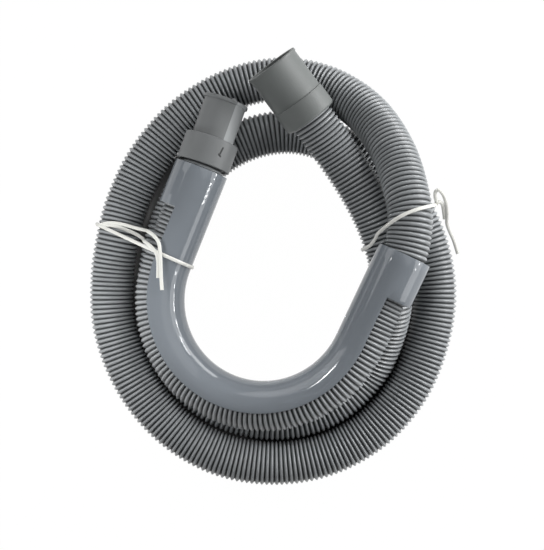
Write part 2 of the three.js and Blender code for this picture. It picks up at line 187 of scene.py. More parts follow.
GUIDE_STOPS = 16
SPAN_PIECES = 24
route = smooth_line(
    [
        wide_cuff_frame @ Vector((0, WIDE_SEAT, 0)),
        wide_cuff_frame @ Vector((0, 0, 0)),
        *[Vector(place) for place in COIL_ROUTE],
        *[guide_frame @ place for place in guide_line(GUIDE_STOPS)],
        stepped_cuff_frame @ Vector((0, STEPPED_SEAT / 3, 0)),
        stepped_cuff_frame @ Vector((0, STEPPED_SEAT, 0)),
    ],
    SPAN_PIECES,
)
hose_length = sum((b - a).length for a, b in zip(route, route[1:]))


def deselect():
    bpy.ops.object.select_all(action="DESELECT")


def stack_rings(name, rings, sides):
    """A tube standing on Z: a circle, extruded and scaled from ring to ring of (radius, height)."""
    deselect()
    bpy.ops.mesh.primitive_circle_add(vertices=sides, radius=rings[0][0])
    tube = bpy.context.object
    tube.name = name
    bpy.ops.object.mode_set(mode="EDIT")
    bpy.ops.mesh.select_all(action="SELECT")
    bpy.ops.transform.translate(value=(0, 0, rings[0][1]))
    for (radius, height), (next_radius, next_height) in zip(rings, rings[1:]):
        bpy.ops.mesh.extrude_edges_move(
            TRANSFORM_OT_translate={"value": (0, 0, next_height - height)}
        )
        growth = next_radius / radius
        bpy.ops.transform.resize(
            value=(growth, growth, 1), center_override=(0, 0, next_height)
        )
    bpy.ops.object.mode_set(mode="OBJECT")
    return tube


def join(target, *others):
    """Makes the other objects part of the target's mesh."""
    deselect()
    for piece in (target, *others):
        piece.select_set(True)
    bpy.context.view_layer.objects.active = target
    bpy.ops.object.join()


def edit(piece, chosen=None, kind="VERT"):
    """Opens a piece in edit mode with only those vertices, edges or faces selected."""
    deselect()
    piece.select_set(True)
    bpy.context.view_layer.objects.active = piece
    bpy.ops.object.mode_set(mode="EDIT")
    bpy.ops.mesh.select_mode(type=kind)
    bpy.ops.mesh.select_all(action="DESELECT" if chosen else "SELECT")
    if chosen:
        mesh = bmesh.from_edit_mesh(piece.data)
        for item in {"VERT": mesh.verts, "EDGE": mesh.edges, "FACE": mesh.faces}[kind]:
            if chosen(item):
                item.select_set(True)
        bmesh.update_edit_mesh(piece.data)


def bridge(piece, chosen):
    """Joins two open loops of edges, chosen by a test, with a ring of faces."""
    edit(piece, lambda edge: edge.is_boundary and chosen(edge), "EDGE")
    bpy.ops.mesh.bridge_edge_loops()
    bpy.ops.object.mode_set(mode="OBJECT")


def apply_modifier(piece, kind, **settings):
    """Adds a modifier with these settings and applies it."""
    deselect()
    piece.select_set(True)
    bpy.context.view_layer.objects.active = piece
    modifier = piece.modifiers.new(kind.lower(), kind)
    for setting, value in settings.items():
        setattr(modifier, setting, value)
    bpy.ops.object.modifier_apply(modifier=modifier.name)


def make_line(name, points, cyclic=False):
    """A curve of straight spans through the points, for a mesh to be bent along."""
    data = bpy.data.curves.new(name, "CURVE")
    data.dimensions = "3D"
    data.twist_mode = "Z_UP"
    spline = data.splines.new("POLY")
    spline.points.add(len(points) - 1)
    for slot, place in zip(spline.points, points):
        slot.co = (*place, 1)
    spline.use_cyclic_u = cyclic
    line = bpy.data.objects.new(name, data)
    bpy.context.scene.collection.objects.link(line)
    return line


def finish_shape(piece, matrix=None, smooth_angle=35):
    """Turns all faces outwards, shades the piece, and puts its place into its mesh."""
    edit(piece)
    bpy.ops.mesh.normals_make_consistent(inside=False)
    bpy.ops.object.mode_set(mode="OBJECT")
    bpy.ops.object.shade_smooth_by_angle(angle=math.radians(smooth_angle))
    if matrix:
        piece.data.transform(matrix)
        piece.data.update()


# one ridge with its stretch of the inner wall, repeated down the hose and bent along the route;
# its profile gives, as shares of the pitch and of the depth, how far along and how high it is
RIDGE_PROFILE = [(0, 0), (0.29, 0.72), (0.5, 1), (0.71, 0.72), (1, 0)]
hose_radius = HOSE_DIAMETER / 2
ridge_pitch = hose_length / RIDGE_COUNT
groove_radius = hose_radius - RIDGE_DEPTH
hose = stack_rings(
    "ridged_hose",
    [(groove_radius + rise * RIDGE_DEPTH, along * ridge_pitch) for along, rise in RIDGE_PROFILE],
    HOSE_SIDES,
)
inner_wall = stack_rings(
    "inner_wall", [(HOSE_BORE / 2, 0), (HOSE_BORE / 2, ridge_pitch)], HOSE_SIDES
)
join(hose, inner_wall)
# how deep each point lies in a groove, 0 on a crest and 1 at the bottom, for the painted shade
# between the ridges
groove = hose.data.attributes.new("groove", "FLOAT", "POINT")
for corner, vertex in zip(groove.data, hose.data.vertices):
    corner.value = min(1, (hose_radius - vertex.co.xy.length) / RIDGE_DEPTH)
apply_modifier(
    hose,
    "ARRAY",
    count=RIDGE_COUNT,
    use_relative_offset=False,
    use_constant_offset=True,
    constant_offset_displace=(0, 0, ridge_pitch),
    use_merge_vertices=True,
    merge_threshold=ridge_pitch / 50,
)
bridge(hose, lambda edge: edge.verts[0].co.z < ridge_pitch / 2)
bridge(hose, lambda edge: edge.verts[0].co.z > hose_length - ridge_pitch / 2)
hose_line = make_line("hose_line", route)
apply_modifier(hose, "CURVE", object=hose_line, deform_axis="POS_Z")
bpy.data.objects.remove(hose_line)
finish_shape(hose, smooth_angle=80)


# Plastic of the hose: mid-grey, satin, a little dusty, with painted shade that makes it much darker
# down between the ridges.
def add_group(name, inputs, outputs):
    """An empty shader node group with these sockets, and its input and output nodes."""
    group = bpy.data.node_groups.new(name, "ShaderNodeTree")
    for socket, kind, value in inputs:
        made = group.interface.new_socket(socket, in_out="INPUT", socket_type=kind)
        if value is not None:
            made.default_value = value
    for socket, kind in outputs:
        group.interface.new_socket(socket, in_out="OUTPUT", socket_type=kind)
    return group, group.nodes.new("NodeGroupInput"), group.nodes.new("NodeGroupOutput")


def add_node(tree, kind, settings=None, **values):
    """A node with its settings and its input values, which may be other nodes' outputs."""
    node = tree.nodes.new(kind)
    for setting, value in (settings or {}).items():
        setattr(node, setting, value)
    for name, value in values.items():
        socket = node.inputs[int(name[1:]) if name[0] == "i" and name[1:].isdigit() else name]
        if isinstance(value, bpy.types.NodeSocket):
            tree.links.new(value, socket)
        else:
            socket.default_value = value
    return node


# grain and handling: fine mould texture for bump, and slow blotches that change colour and gloss
surface_group, surface_in, surface_out = add_group(
    "moulded_surface",
    [
        ("Colour", "NodeSocketColor", (0.5, 0.5, 0.5, 1)),
        ("Blotch Size", "NodeSocketFloat", 40),
        ("Blotch Depth", "NodeSocketFloat", 0.12),
        ("Roughness", "NodeSocketFloat", 0.4),
        ("Roughness Spread", "NodeSocketFloat", 0.08),
        ("Grain Size", "NodeSocketFloat", 2500),
    ],
    [
        ("Colour", "NodeSocketColor"),
        ("Roughness", "NodeSocketFloat"),
        ("Grain", "NodeSocketFloat"),
    ],
)
place = add_node(surface_group, "ShaderNodeTexCoord").outputs["Object"]
blotches = add_node(
    surface_group,
    "ShaderNodeTexNoise",
    Vector=place,
    Scale=surface_in.outputs["Blotch Size"],
    Detail=4.0,
)
grain = add_node(
    surface_group,
    "ShaderNodeTexNoise",
    Vector=place,
    Scale=surface_in.outputs["Grain Size"],
    Detail=2.0,
)
centred = add_node(
    surface_group, "ShaderNodeMath", {"operation": "SUBTRACT"}, i0=blotches.outputs["Fac"], i1=0.5
)
shade = add_node(
    surface_group,
    "ShaderNodeMath",
    {"operation": "MULTIPLY_ADD"},
    i0=centred.outputs[0],
    i1=surface_in.outputs["Blotch Depth"],
    i2=1.0,
)
tinted = add_node(
    surface_group,
    "ShaderNodeVectorMath",
    {"operation": "SCALE"},
    i0=surface_in.outputs["Colour"],
    Scale=shade.outputs[0],
)
rough = add_node(
    surface_group,
    "ShaderNodeMath",
    {"operation": "MULTIPLY_ADD"},
    i0=centred.outputs[0],
    i1=surface_in.outputs["Roughness Spread"],
    i2=surface_in.outputs["Roughness"],
)
surface_group.links.new(tinted.outputs[0], surface_out.inputs["Colour"])
surface_group.links.new(rough.outputs[0], surface_out.inputs["Roughness"])
surface_group.links.new(grain.outputs["Fac"], surface_out.inputs["Grain"])


def start_material(name, colour, bump_height, **surface):
    """A moulded plastic or rubber: the shared surface group feeding a Principled BSDF."""
    material = bpy.data.materials.new(name)
    material.use_nodes = True
    tree = material.node_tree
    shader = tree.nodes["Principled BSDF"]
    surface_node = add_node(tree, "ShaderNodeGroup", {"node_tree": surface_group})
    surface_node.inputs["Colour"].default_value = (*colour, 1)
    for socket, value in surface.items():
        surface_node.inputs[socket.replace("_", " ").title()].default_value = value
    bump = add_node(tree, "ShaderNodeBump", Height=surface_node.outputs["Grain"])
    bump.inputs["Strength"].default_value = 1
    bump.inputs["Distance"].default_value = bump_height
    tree.links.new(surface_node.outputs["Colour"], shader.inputs["Base Color"])
    tree.links.new(surface_node.outputs["Roughness"], shader.inputs["Roughness"])
    tree.links.new(bump.outputs["Normal"], shader.inputs["Normal"])
    return material, tree, shader, surface_node, bump


def set_material(piece, material):
    """Gives the whole piece one material."""
    piece.data.materials.clear()
    piece.data.materials.append(material)


HOSE_GREY = (0.3, 0.315, 0.325)
# painted shade in the grooves: the colour falls to GROOVE_SHADE of itself between these shares of a
# groove's depth
GROOVE_START, GROOVE_FULL = 0.15, 0.95
GROOVE_SHADE = 0.16
hose_plastic, tree, shader, surface_node, _ = start_material(
    "ridged_grey_plastic",
    HOSE_GREY,
    bump_height=0.00002,
    blotch_size=60,
    blotch_depth=0.25,
    roughness=0.3,
    roughness_spread=0.15,
    grain_size=1800,
)
# painted shade: the colour is darkened by how deep each point lies in a groove
depth = add_node(tree, "ShaderNodeAttribute", {"attribute_name": "groove"}).outputs["Fac"]
darkness = add_node(
    tree, "ShaderNodeMapRange", {"interpolation_type": "SMOOTHSTEP"}, Value=depth
)
darkness.inputs["From Min"].default_value = GROOVE_START
darkness.inputs["From Max"].default_value = GROOVE_FULL
darkness.inputs["To Min"].default_value = 1
darkness.inputs["To Max"].default_value = GROOVE_SHADE
groove_painted_shade = add_node(
    tree,
    "ShaderNodeVectorMath",
    {"operation": "SCALE"},
    i0=surface_node.outputs["Colour"],
    Scale=darkness.outputs[0],
)
tree.links.new(groove_painted_shade.outputs[0], shader.inputs["Base Color"])
set_material(hose, hose_plastic)

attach(hose, "root")
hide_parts("corrugated_hose")


# Wide cuff: soft dark rubber, moulded in one. Its band is shrunk on over the hose's end, and its
# thinner open sleeve, with a small lip at the mouth, pushes over the pump's outlet.
WIDE_BORE_RADIUS = 0.0155
WIDE_SLEEVE_RADIUS = 0.0175
WIDE_BAND_RADIUS = 0.01805
WIDE_BAND_LENGTH = 0.015
WIDE_LENGTH = 0.0434
WIDE_SOCKET_RADIUS = 0.0153
WIDE_SOCKET_DEPTH = 0.0138
WIDE_STOP_RADIUS, WIDE_STOP_THICKNESS = 0.0125, 0.0024
WIDE_LIP_RADIUS, WIDE_LIP_LENGTH = 0.01805, 0.0025
WIDE_HEEL_ROUNDING, WIDE_BAND_EDGE = 0.0022, 0.0003
WIDE_NECK_DEPTH, WIDE_NECK_STEP = 0.0002, 0.0003
WIDE_LIP_STEP, WIDE_LIP_RISE, WIDE_LIP_EDGE = 0.0001, 0.0006, 0.0005
WIDE_MOUTH_EDGE = 0.0006
CUFF_SIDES = 96
ROUNDING_STEPS = 5
SAME_RING = 0.0001


def close_turned(piece, first, last):
    """Joins a turned piece's last ring to its first one, which lie at these radii and heights."""
    def lies_on_either(edge):
        spot = edge.verts[0].co
        here = (spot.xy.length, spot.z)
        return any(math.dist(here, ring) < SAME_RING for ring in (first, last))

    bridge(piece, lies_on_either)


def quarter_round(radius, height, rounding, start, end):
    """Rings that round a corner, about a centre at this radius and height, between two angles."""
    rings = []
    for i in range(ROUNDING_STEPS + 1):
        angle = math.radians(start + (end - start) * i / ROUNDING_STEPS)
        rings.append((radius + rounding * math.cos(angle), height + rounding * math.sin(angle)))
    return rings


wide_neck_radius = WIDE_SLEEVE_RADIUS - WIDE_NECK_DEPTH
wide_lip_start = WIDE_LENGTH - WIDE_LIP_LENGTH
wide_rings = [
    (WIDE_SOCKET_RADIUS, 0),
    *quarter_round(
        WIDE_BAND_RADIUS - WIDE_HEEL_ROUNDING, WIDE_HEEL_ROUNDING, WIDE_HEEL_ROUNDING, -90, 0
    ),
    *quarter_round(
        WIDE_BAND_RADIUS - WIDE_BAND_EDGE,
        WIDE_BAND_LENGTH - WIDE_BAND_EDGE,
        WIDE_BAND_EDGE,
        0,
        90,
    ),
    (wide_neck_radius, WIDE_BAND_LENGTH),
    (wide_neck_radius, WIDE_BAND_LENGTH + WIDE_NECK_STEP),
    (WIDE_SLEEVE_RADIUS, WIDE_BAND_LENGTH + 2 * WIDE_NECK_STEP),
    (WIDE_SLEEVE_RADIUS, wide_lip_start),
    (WIDE_LIP_RADIUS - WIDE_LIP_STEP, wide_lip_start + WIDE_LIP_RISE),
    *quarter_round(
        WIDE_LIP_RADIUS - WIDE_LIP_EDGE, WIDE_LENGTH - WIDE_LIP_EDGE, WIDE_LIP_EDGE, 0, 90
    ),
    *quarter_round(
        WIDE_BORE_RADIUS + WIDE_MOUTH_EDGE, WIDE_LENGTH - WIDE_MOUTH_EDGE, WIDE_MOUTH_EDGE, 90, 180
    ),
    (WIDE_BORE_RADIUS, WIDE_SOCKET_DEPTH + WIDE_STOP_THICKNESS),
    (WIDE_STOP_RADIUS, WIDE_SOCKET_DEPTH + WIDE_STOP_THICKNESS),
    (WIDE_STOP_RADIUS, WIDE_SOCKET_DEPTH),
    (WIDE_SOCKET_RADIUS, WIDE_SOCKET_DEPTH),
]
ALONG_Y = Matrix.Rotation(math.radians(-90), 4, "X")
wide_cuff = stack_rings("wide_rubber_cuff", wide_rings, CUFF_SIDES)
close_turned(wide_cuff, wide_rings[0], wide_rings[-1])
finish_shape(wide_cuff, wide_cuff_frame @ ALONG_Y, smooth_angle=40)

CUFF_GREY = (0.143, 0.153, 0.15)
CUFF_SURFACE = {
    "bump_height": 0.00003,
    "blotch_size": 55,
    "blotch_depth": 0.2,
    "roughness": 0.5,
    "roughness_spread": 0.16,
    "grain_size": 1500,
}
cuff_rubber = start_material("dark_cuff_rubber", CUFF_GREY, **CUFF_SURFACE)[0]
set_material(wide_cuff, cuff_rubber)
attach(wide_cuff, "root")
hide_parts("wide_cuff")


# Stepped cuff: the same rubber. Its collar is pushed on over the hose's other end, just past the
# guide, and its narrower spout ends in a thin flange with a scrap of moulding flash on it.
COLLAR_RADIUS = 0.01775
COLLAR_LENGTH = 0.0182
COLLAR_SOCKET_RADIUS, COLLAR_SOCKET_DEPTH = 0.0153, 0.0154
SPOUT_RADIUS, SPOUT_BORE_RADIUS = 0.01385, 0.011
SPOUT_END = 0.043
FLANGE_RADIUS, FLANGE_THICKNESS = 0.01495, 0.0022
COLLAR_HEEL, COLLAR_EDGE = 0.0006, 0.0005
SPOUT_ROOT, SPOUT_MOUTH_EDGE = 0.0006, 0.0004
FLANGE_ROOT, FLANGE_BACK_EDGE, FLANGE_FRONT_EDGE = 0.0003, 0.0004, 0.0006
spout_tip = SPOUT_END + FLANGE_THICKNESS
stepped_rings = [
    (COLLAR_SOCKET_RADIUS, 0),
    *quarter_round(COLLAR_RADIUS - COLLAR_HEEL, COLLAR_HEEL, COLLAR_HEEL, -90, 0),
    *quarter_round(COLLAR_RADIUS - COLLAR_EDGE, COLLAR_LENGTH - COLLAR_EDGE, COLLAR_EDGE, 0, 90),
    (SPOUT_RADIUS + SPOUT_ROOT, COLLAR_LENGTH),
    (SPOUT_RADIUS, COLLAR_LENGTH + SPOUT_ROOT),
    (SPOUT_RADIUS, SPOUT_END - FLANGE_ROOT),
    (SPOUT_RADIUS + FLANGE_ROOT, SPOUT_END),
    *quarter_round(
        FLANGE_RADIUS - FLANGE_BACK_EDGE, SPOUT_END + FLANGE_BACK_EDGE, FLANGE_BACK_EDGE, -90, 0
    ),
    *quarter_round(
        FLANGE_RADIUS - FLANGE_FRONT_EDGE, spout_tip - FLANGE_FRONT_EDGE, FLANGE_FRONT_EDGE, 0, 90
    ),
    *quarter_round(
        SPOUT_BORE_RADIUS + SPOUT_MOUTH_EDGE,
        spout_tip - SPOUT_MOUTH_EDGE,
        SPOUT_MOUTH_EDGE,
        90,
        180,
    ),
    (SPOUT_BORE_RADIUS, COLLAR_SOCKET_DEPTH),
    (COLLAR_SOCKET_RADIUS, COLLAR_SOCKET_DEPTH),
]
stepped_cuff = stack_rings("stepped_rubber_cuff", stepped_rings, CUFF_SIDES)
close_turned(stepped_cuff, stepped_rings[0], stepped_rings[-1])

# the scrap of flash stands on the flange's far edge
NUB_ANGLE = math.radians(32)
NUB_WIDTH, NUB_LENGTH, NUB_HEIGHT = 0.0021, 0.0021, 0.0019
NUB_EDGE = 0.0002
NUB_SUNK_SHARE = 0.35
deselect()
bpy.ops.mesh.primitive_cube_add(size=1)
nub = bpy.context.object
nub.data.transform(Matrix.Diagonal((NUB_WIDTH, NUB_LENGTH, NUB_HEIGHT, 1)))
apply_modifier(nub, "BEVEL", width=NUB_EDGE, segments=2)
nub_radius = FLANGE_RADIUS - NUB_HEIGHT * NUB_SUNK_SHARE
nub_place = Vector(
    (nub_radius * math.sin(NUB_ANGLE), spout_tip, nub_radius * math.cos(NUB_ANGLE))
)
nub.data.transform(
    ALONG_Y.inverted() @ Matrix.Translation(nub_place) @ Matrix.Rotation(NUB_ANGLE, 4, "Y")
)
join(stepped_cuff, nub)
finish_shape(stepped_cuff, stepped_cuff_frame @ ALONG_Y, smooth_angle=40)


def on_collar(around, along):
    """A point on the collar's outside, by its angle from the top and its distance from the hose."""
    angle = math.radians(around)
    return stepped_cuff_frame @ Vector(
        (COLLAR_RADIUS * math.sin(angle), along, COLLAR_RADIUS * math.cos(angle))
    )


# a mask that is 1 along a short stroke, and another that is 1 beyond a plane
stroke_group, stroke_in, stroke_out = add_group(
    "stroke",
    [
        ("Start", "NodeSocketVector", None),
        ("Span", "NodeSocketVector", None),
        ("Radius", "NodeSocketFloat", 0.0003),
    ],
    [("Mask", "NodeSocketFloat")],
)
spot = add_node(stroke_group, "ShaderNodeTexCoord").outputs["Object"]
offset = add_node(
    stroke_group,
    "ShaderNodeVectorMath",
    {"operation": "SUBTRACT"},
    i0=spot,
    i1=stroke_in.outputs["Start"],
).outputs[0]
reach, size = (
    add_node(
        stroke_group,
        "ShaderNodeVectorMath",
        {"operation": "DOT_PRODUCT"},
        i0=vector,
        i1=stroke_in.outputs["Span"],
    ).outputs["Value"]
    for vector in (offset, stroke_in.outputs["Span"])
)
along = add_node(
    stroke_group, "ShaderNodeMath", {"operation": "DIVIDE", "use_clamp": True}, i0=reach, i1=size
).outputs[0]
nearest = add_node(
    stroke_group,
    "ShaderNodeVectorMath",
    {"operation": "SCALE"},
    i0=stroke_in.outputs["Span"],
    Scale=along,
).outputs[0]
gap = add_node(
    stroke_group, "ShaderNodeVectorMath", {"operation": "DISTANCE"}, i0=offset, i1=nearest
).outputs["Value"]
mask = add_node(stroke_group, "ShaderNodeMapRange", {"interpolation_type": "SMOOTHSTEP"}, Value=gap)
mask.inputs["From Min"].default_value = 0
mask.inputs["To Min"].default_value = 1
mask.inputs["To Max"].default_value = 0
stroke_group.links.new(stroke_in.outputs["Radius"], mask.inputs["From Max"])
stroke_group.links.new(mask.outputs[0], stroke_out.inputs["Mask"])

PARTING_BLUR = 0.0001
side_group, side_in, side_out = add_group(
    "beyond_plane",
    [("Point", "NodeSocketVector", None), ("Direction", "NodeSocketVector", None)],
    [("Mask", "NodeSocketFloat")],
)
spot = add_node(side_group, "ShaderNodeTexCoord").outputs["Object"]
offset = add_node(
    side_group,
    "ShaderNodeVectorMath",
    {"operation": "SUBTRACT"},
    i0=spot,
    i1=side_in.outputs["Point"],
).outputs[0]
standoff = add_node(
    side_group,
    "ShaderNodeVectorMath",
    {"operation": "DOT_PRODUCT"},
    i0=offset,
    i1=side_in.outputs["Direction"],
).outputs["Value"]
mask = add_node(side_group, "ShaderNodeMapRange", Value=standoff)
mask.inputs["From Min"].default_value = -PARTING_BLUR
mask.inputs["From Max"].default_value = PARTING_BLUR
side_group.links.new(mask.outputs[0], side_out.inputs["Mask"])


def combine(tree, operation, values):
    """One value from several, taken two at a time by the same math operation."""
    total = values[0]
    for value in values[1:]:
        total = add_node(
            tree, "ShaderNodeMath", {"operation": operation}, i0=total, i1=value
        ).outputs[0]
    return total


# the spout's half beyond the mould's parting line has painted light, its colour made lighter where
# that side catches the lamps, and the collar has a nick in it, darkened with painted shade, made of
# two strokes that each run between two points on the collar
STEPPED_GREY = (0.171, 0.179, 0.182)
PARTING_ANGLE = math.radians(42.5)
PAINTED_LIGHT_HALF = 1.1
# the nick is a real cut, dented into the bump by NICK_DEPTH, and its darkness is painted shade,
# NICK_SHADE taking the colour down to black
NICK_SHADE, NICK_DEPTH = -1, -8.0
NICK_STROKES = [
    ((40.5, 0.0132), (38.5, 0.0092), 0.001),
    ((36.5, 0.0084), (41, 0.0076), 0.0012),
]
cuff_rubber_with_painted_light, tree, shader, surface_node, bump = start_material(
    "cuff_rubber_painted_light_and_shade", STEPPED_GREY, **CUFF_SURFACE
)
cuff_turn = stepped_cuff_frame.to_3x3()
# the planes that bound the half with painted light: the parting line, and the end of the collar
halves = [
    ((0, 0, 0), cuff_turn @ Vector((math.cos(PARTING_ANGLE), 0, -math.sin(PARTING_ANGLE)))),
    ((0, COLLAR_LENGTH, 0), cuff_turn @ Vector((0, 1, 0))),
]
sides = [
    add_node(
        tree,
        "ShaderNodeGroup",
        {"node_tree": side_group},
        Point=stepped_cuff_frame @ Vector(point),
        Direction=direction,
    ).outputs[0]
    for point, direction in halves
]
painted_light_mask = combine(tree, "MULTIPLY", sides)
strokes = []
for start, end, radius in NICK_STROKES:
    first, last = on_collar(*start), on_collar(*end)
    stroke = add_node(
        tree,
        "ShaderNodeGroup",
        {"node_tree": stroke_group},
        Start=first,
        Span=last - first,
        Radius=radius,
    )
    strokes.append(stroke.outputs[0])
nick = combine(tree, "MAXIMUM", strokes)
# painted light raises the colour on the spout's far half, and painted shade takes it down to black
# in the nick
tone = add_node(
    tree, "ShaderNodeMath", {"operation": "MULTIPLY_ADD"}, i0=painted_light_mask, i1=PAINTED_LIGHT_HALF, i2=1.0
)
tone = add_node(
    tree,
    "ShaderNodeMath",
    {"operation": "MULTIPLY_ADD"},
    i0=nick,
    i1=NICK_SHADE,
    i2=tone.outputs[0],
)
colour_with_painted_light_and_shade = add_node(
    tree,
    "ShaderNodeVectorMath",
    {"operation": "SCALE"},
    i0=surface_node.outputs["Colour"],
    Scale=tone.outputs[0],
)
tree.links.new(colour_with_painted_light_and_shade.outputs[0], shader.inputs["Base Color"])
dented = add_node(
    tree,
    "ShaderNodeMath",
    {"operation": "MULTIPLY_ADD"},
    i0=nick,
    i1=NICK_DEPTH,
    i2=surface_node.outputs["Grain"],
)
tree.links.new(dented.outputs[0], bump.inputs["Height"])
set_material(stepped_cuff, cuff_rubber_with_painted_light)
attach(stepped_cuff, "root")
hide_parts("stepped_cuff")


# Guide: stiff glossy plastic moulded as a U. A closed sleeve at each end holds the hose, and the
# rest is open along the outside of the bend, so that the hose can be pressed in.
GUIDE_RADIUS = 0.01775
GUIDE_WALL = 0.00165
GUIDE_SLEEVE_LENGTH = 0.0294
GUIDE_SIDES = 50
LIP_VERTEX = 11
ARM_PIECES, BEND_STEPS = 4, 60
GUIDE_WELD = 0.00005
GUIDE_EDGE = 0.00035
guide_sides_angle = 360 / GUIDE_SIDES
lip_angle = LIP_VERTEX * guide_sides_angle


def extrude_by(offset, pieces):
    """Extrudes the selected ring of edges along a straight offset in equal pieces."""
    for _ in range(pieces):
        bpy.ops.mesh.extrude_edges_move(TRANSFORM_OT_translate={"value": offset / pieces})


deselect()
bpy.ops.mesh.primitive_circle_add(vertices=GUIDE_SIDES, radius=GUIDE_RADIUS)
guide = bpy.context.object
guide.name = "hook_guide"
right_end = arm_point(1, GUIDE_ARM_LENGTH)
right_direction = (arm_point(1, 0) - right_end).normalized()
left_direction = (arm_point(-1, GUIDE_ARM_LENGTH) - arm_point(-1, 0)).normalized()
outward = Vector((0, 0, 1)).cross(right_direction)
ring_turn = Matrix((outward.cross(right_direction), outward, right_direction)).transposed()
guide.data.transform(Matrix.Translation(right_end) @ ring_turn.to_4x4())
edit(guide)
open_arm_length = GUIDE_ARM_LENGTH - GUIDE_SLEEVE_LENGTH
extrude_by(right_direction * GUIDE_SLEEVE_LENGTH, ARM_PIECES)
extrude_by(right_direction * open_arm_length, ARM_PIECES)
bpy.ops.mesh.spin(
    steps=BEND_STEPS,
    angle=math.pi - 2 * math.radians(GUIDE_ARM_SPLAY),
    center=(0, 0, 0),
    axis=(0, 0, 1),
)
extrude_by(left_direction * open_arm_length, ARM_PIECES)
extrude_by(left_direction * GUIDE_SLEEVE_LENGTH, ARM_PIECES)
bpy.ops.mesh.select_all(action="SELECT")
bpy.ops.mesh.remove_doubles(threshold=GUIDE_WELD)
bpy.ops.object.mode_set(mode="OBJECT")


def faces_slot(face):
    """Whether a face lies over the open side of the guide, between the sleeves and the lips."""
    middle = face.calc_center_median()
    side = 1 if middle.x > 0 else -1
    foot = arm_point(side, 0)
    up = (arm_point(side, 1) - foot).normalized()
    height = (middle - foot).dot(up)
    if height > open_arm_length:
        return False
    if height > 0:
        away = side * up.cross(Vector((0, 0, 1)))
        standoff = (middle - foot).dot(away)
    else:
        standoff = middle.xy.length - GUIDE_BEND_RADIUS
    return abs(math.degrees(math.atan2(middle.z, standoff))) < lip_angle


edit(guide, faces_slot, "FACE")
bpy.ops.mesh.delete(type="FACE")
bpy.ops.mesh.select_all(action="SELECT")
bpy.ops.mesh.normals_make_consistent(inside=False)
bpy.ops.object.mode_set(mode="OBJECT")
apply_modifier(
    guide, "SOLIDIFY", thickness=GUIDE_WALL, offset=-1, use_quality_normals=True, use_rim=True
)
apply_modifier(
    guide,
    "BEVEL",
    width=GUIDE_EDGE,
    segments=2,
    limit_method="ANGLE",
    angle_limit=math.radians(50),
)
finish_shape(guide, guide_frame, smooth_angle=40)

GUIDE_GREY = (0.178, 0.197, 0.218)
guide_plastic = start_material(
    "glossy_grey_plastic",
    GUIDE_GREY,
    bump_height=0.000001,
    blotch_size=30,
    blotch_depth=0.14,
    roughness=0.025,
    roughness_spread=0.015,
    grain_size=700,
)[0]
set_material(guide, guide_plastic)
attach(guide, "root")
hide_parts("hose_guide")


# Ties: flat wire with a white plastic coat, pulled round the bundle by hand and twisted shut. The
# long ends of the left one lie over the guide, and those of the right one make a bow.
TIE_WIDTH = 0.0023
TIE_THICKNESS = 0.0006
TIE_CORE = 0.0011
TIE_CLEARANCE = 0.0005
TIE_REACH = 0.034
TIE_SIDES, TIE_SPANS = 12, 90
WIRE_SHARE = 0.38
OUTLINE_POINTS = 48
END_PIECES = 8
GUIDE_STATIONS = 200
LEFT_TIE_CENTRE, LEFT_TIE_TURN = (-0.0836, 0.0152, 0.035), -24
RIGHT_TIE_CENTRE, RIGHT_TIE_TURN = (0.0814, 0.0272, 0.055), 31.9
RIGHT_TIE_BOW = 0.006
LEFT_TIE_ENDS = [
    [
        (-0.116, 0.0287, 0.0257),
        (-0.1121, 0.0301, 0.0283),
        (-0.1076, 0.0307, 0.0308),
        (-0.1021, 0.0303, 0.032),
        (-0.0961, 0.0289, 0.0334),
        (-0.0898, 0.0271, 0.0385),
        (-0.0839, 0.0256, 0.047),
        (-0.0809, 0.0246, 0.0559),
        (-0.0762, 0.0214, 0.063),
        (-0.073, 0.0168, 0.067),
        (-0.0722, 0.0117, 0.0683),
        (-0.0717, 0.0041, 0.0685),
        (-0.0714, -0.0042, 0.0685),
        (-0.0709, -0.0132, 0.0683),
    ],
    [
        (-0.116, 0.0287, 0.0257),
        (-0.1119, 0.0289, 0.0286),
        (-0.1074, 0.029, 0.0311),
        (-0.1021, 0.028, 0.032),
        (-0.096, 0.0259, 0.0338),
        (-0.0899, 0.0232, 0.04),
        (-0.0848, 0.0201, 0.048),
        (-0.0825, 0.0179, 0.0577),
        (-0.0776, 0.014, 0.0641),
        (-0.0745, 0.0098, 0.067),
        (-0.0735, 0.0053, 0.0675),
        (-0.0734, 0.0002, 0.0675),
        (-0.0735, -0.0055, 0.0674),
    ],
]
RIGHT_TIE_ENDS = [
    [
        (0.1029, 0.0385, 0.0644),
        (0.1041, 0.0424, 0.067),
        (0.103, 0.0469, 0.069),
        (0.1033, 0.0495, 0.07),
        (0.1051, 0.0504, 0.0705),
        (0.1077, 0.0483, 0.069),
        (0.1099, 0.0436, 0.066),
        (0.1115, 0.0368, 0.06),
        (0.112, 0.0299, 0.054),
        (0.1144, 0.025, 0.047),
        (0.1176, 0.0192, 0.041),
        (0.121, 0.0105, 0.035),
    ],
    [
        (0.1029, 0.0385, 0.0644),
        (0.1038, 0.0415, 0.0664),
        (0.1054, 0.0432, 0.067),
        (0.1078, 0.0418, 0.065),
        (0.1093, 0.0374, 0.0605),
        (0.1103, 0.0325, 0.056),
    ],
]


